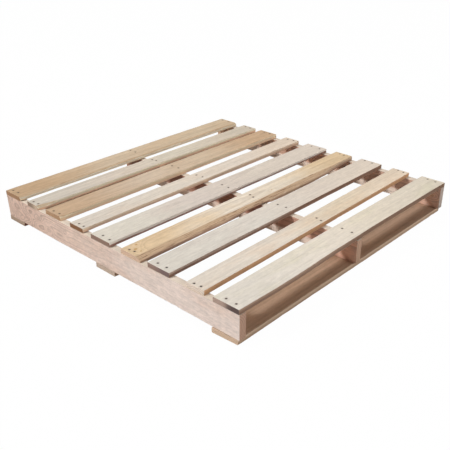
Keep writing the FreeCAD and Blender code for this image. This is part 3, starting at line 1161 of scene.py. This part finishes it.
def shank_tool(x, y, face_z, up, depth):
    """The pointed hole in a stringer."""
    profile = [(0, 2.0), (HOLE_RADIUS, 2.0), (HOLE_RADIUS, -depth + 3.5), (0.45, -depth),
               (0, -depth - 0.05)]
    return revolve(profile, (x, y, face_z), segments=12, up=up)


def add_timber(node, tools, places=()):
    frame, shape = frames[node], SHAPES[node]
    pins = [] if node in STRINGERS else stringer_lines(frame)
    points, faces = worn_box(frame, shape, pins)
    name = node + "_timber"
    ob = add_mesh(name, to_world(frame, points), faces.tolist())
    if tools:
        cut(ob, tools)
    finish_mesh(ob, sharp=38.0)
    store_rim(ob.data, frame)
    store_stain(ob.data, places)
    ob.data.materials.clear()
    timber = Timber(name, frame, LOOKS[node], shape.seed, underside=node in TOP_BOARDS)
    ob.data.materials.append(timber.material)
    register(ob, node)


def add_board(node, group, up):
    frame = frames[node]
    face_z = frame.origin[2] + frame.thickness if up > 0 else frame.origin[2]
    tools = [head_tool(x, y, face_z, up, frame.thickness) for x, y, *_ in nails[group]]
    add_timber(node, tools, nails[group])


def add_stringer(node):
    frame = frames[node]
    right = frame.origin[0]
    left = right - frame.width
    bottom = frame.origin[2]
    top = bottom + frame.thickness
    clearance = 0.4      # beyond the nail's point
    tools = []
    for group in TOP_NAILS:
        tools += [shank_tool(x, y, top, 1.0, top - z_low + clearance)
                  for x, y, z_low, z_high in nails[group] if left < x < right]
    for group in BOTTOM_NAILS:
        tools += [shank_tool(x, y, bottom, -1.0, z_high - bottom + clearance)
                  for x, y, z_low, z_high in nails[group] if left < x < right]
    add_timber(node, tools)


for board, nail_group in zip(TOP_BOARDS, TOP_NAILS):
    add_board(board, nail_group, up=1.0)
for board, nail_group in zip(BOTTOM_BOARDS, BOTTOM_NAILS):
    add_board(board, nail_group, up=-1.0)
for stringer in STRINGERS:
    add_stringer(stringer)

# --------------------------------------------------------------------------
# nails
# --------------------------------------------------------------------------


def nail_profile():
    """Slightly domed head with a rolled rim, ringed shank and cut point."""
    shank, end = SHANK_RADIUS, NAIL_LENGTH
    profile = [
        (0, -0.05), (1.4, -0.06), (2.5, -0.10), (3.1, -0.18), (3.4, -0.36),
        (HEAD_RADIUS, -0.62), (3.46, -0.95), (3.2, -1.15), (1.9, -1.2),
        (shank + 0.25, -1.45), (shank, -2.0), (shank, -18.0)]
    z = -RIB_START
    while z > -(end - 8.0):
        groove = shank - RIB_DEPTH
        profile += [(shank, z), (groove, z - 0.25), (groove, z - 0.75), (shank, z - 1.35)]
        z -= RIB_PITCH
    profile += [(shank, -(end - 5.0)), (shank * 0.62, -(end - 2.4)), (0.22, -end + 0.15),
                (0, -end + 0.02)]
    return profile


def nail(x, y, z_head, up, seed):
    """One driven nail, its head tilted a little."""
    tilt_x, tilt_y = np.random.default_rng(seed).uniform(-0.012, 0.012, 2)
    points, faces = revolve(nail_profile(), (x, y, z_head), segments=18, up=up)
    tilted = []
    for px, py, pz in points:
        lift = 0.0
        if abs(pz - z_head) < 1.3:
            lift = (px - x) * tilt_x + (py - y) * tilt_y
        tilted.append((px, py, pz + lift))
    return tilted, faces


steel = nail_steel()
for group_number, nail_group in enumerate(TOP_NAILS + BOTTOM_NAILS):
    up = 1.0 if nail_group in TOP_NAILS else -1.0
    group_seed = 1000 + 10 * group_number
    parts = [nail(x, y, z_high if up > 0 else z_low, up, group_seed + k)
             for k, (x, y, z_low, z_high) in enumerate(nails[nail_group])]
    nail_object = add_mesh(nail_group + "_steel", *join(parts))
    finish_mesh(nail_object, sharp=50.0)
    nail_object.data.materials.append(steel)
    register(nail_object, nail_group)

# --------------------------------------------------------------------------
# floor, world, lights and camera
# --------------------------------------------------------------------------


def floor_material():
    """Nearly pure white to the camera, a pale matt surface to everything else."""
    material = bpy.data.materials.new("studio_floor")
    net = Net(material)
    path = net.node("ShaderNodeLightPath")
    white = net.node("ShaderNodeEmission", {"Color": (1.0, 1.0, 1.0), "Strength": 1.0})[0]
    pale = net.node("ShaderNodeBsdfDiffuse", {"Color": (0.9, 0.9, 0.9)})[0]
    shadow_share = 0.015
    seen = net.mix_shader(shadow_share, white, pale)
    felt = net.node("ShaderNodeBsdfDiffuse", {"Color": (0.72, 0.70, 0.68)})[0]
    both = net.mix_shader(path["Is Camera Ray"], felt, seen)
    net.put(net.output.inputs["Surface"], both)
    return material


def add_floor():
    bm = bmesh.new()
    bmesh.ops.create_grid(bm, x_segments=4, y_segments=4, size=14.0)
    mesh = bpy.data.meshes.new("studio_floor")
    bm.to_mesh(mesh)
    bm.free()
    floor = link_object("studio_floor", mesh)
    floor.location = (0, 0, -0.0006)     # just clear of the bottom boards
    floor.data.materials.append(floor_material())


def add_world(ambient):
    """White to the camera, faint ambient light to everything else."""
    world = bpy.data.worlds.new("studio")
    bpy.context.scene.world = world
    net = Net(world, "ShaderNodeOutputWorld")
    lit, seen = (
        net.node("ShaderNodeBackground", {0: (1.0, 1.0, 1.0), 1: strength})[0]
        for strength in (ambient, 1.0))
    path = net.node("ShaderNodeLightPath")
    net.put(net.output.inputs[0], net.mix_shader(path["Is Camera Ray"], lit, seen))


def softbox(name, direction, distance, size, power):
    """A rectangular lamp, hidden from the camera, aimed at a point 60 mm above the origin."""
    lamp = bpy.data.lights.new(name, "AREA")
    lamp.shape = "RECTANGLE"
    lamp.size, lamp.size_y = size
    lamp.energy = power
    ob = link_object(name, lamp)
    toward = Vector(direction).normalized()
    ob.location = toward * distance + Vector((0, 0, 0.06))
    ob.rotation_euler = (-toward).to_track_quat("-Z", "Y").to_euler()
    ob.visible_camera = False


def add_camera(location, azimuth, dip, roll, lens):
    """Angles in degrees: azimuth from +Y towards +X, dip below the horizon."""
    data = bpy.data.cameras.new("camera")
    camera = link_object("camera", data)
    azimuth, dip, roll = (math.radians(angle) for angle in (azimuth, dip, roll))
    look = Vector((math.sin(azimuth) * math.cos(dip), math.cos(azimuth) * math.cos(dip),
                   -math.sin(dip)))
    level = look.cross(Vector((0, 0, 1))).normalized()
    upright = level.cross(look)
    right = math.cos(roll) * level + math.sin(roll) * upright
    top = -math.sin(roll) * level + math.cos(roll) * upright
    rotation = Matrix((right, top, -look)).transposed()
    camera.matrix_world = Matrix.Translation(Vector(location)) @ rotation.to_4x4()
    data.sensor_fit = "HORIZONTAL"
    data.sensor_width = 36.0
    data.lens = lens
    data.clip_end = 60.0
    bpy.context.scene.camera = camera


add_floor()
add_world(ambient=0.09)
softbox("side", direction=(-1.25, 0.57, 1.0), distance=16.0, size=(2.4, 2.4), power=1540.0)
softbox("overhead", direction=(0.05, 0.15, 1.0), distance=12.0, size=(9.0, 9.0), power=755.0)
softbox("front_fill", direction=(0.35, -1.0, 0.42), distance=8.0, size=(5.0, 2.4), power=205.0)
add_camera(location=(-1.763709, -1.633756, 1.168602), azimuth=46.916, dip=26.804, roll=-0.209,
           lens=53.270)
bpy.context.scene.view_settings.view_transform = "Standard"
bpy.context.scene.view_settings.look = "None"

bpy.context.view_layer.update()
